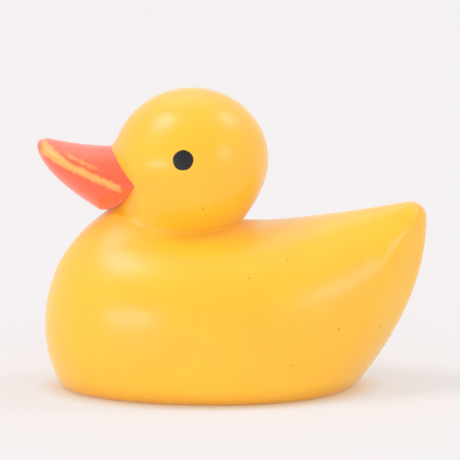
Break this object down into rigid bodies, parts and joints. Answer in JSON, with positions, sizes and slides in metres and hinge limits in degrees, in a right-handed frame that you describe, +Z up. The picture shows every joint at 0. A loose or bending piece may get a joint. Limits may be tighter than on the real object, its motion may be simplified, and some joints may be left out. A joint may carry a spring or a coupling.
{
  "type": "toy duck figure",
  "caption": "Hollow soft vinyl duck figure with a ball head, flat pointed bill, raised tail and flat base; a small bath toy or desk ornament that stands on a table.",
  "frame": {"origin": "middle of the length and width, on the plane of the flat base", "axes": "+Z up, bill towards -X and tail towards +X, +Y across the figure"},
  "size_m": [0.0904, 0.051, 0.0703],
  "materials": {
    "vinyl": "satin"
  },
  "bodies": {
    "root": {"duck": "vinyl"}
  },
  "joints": []
}
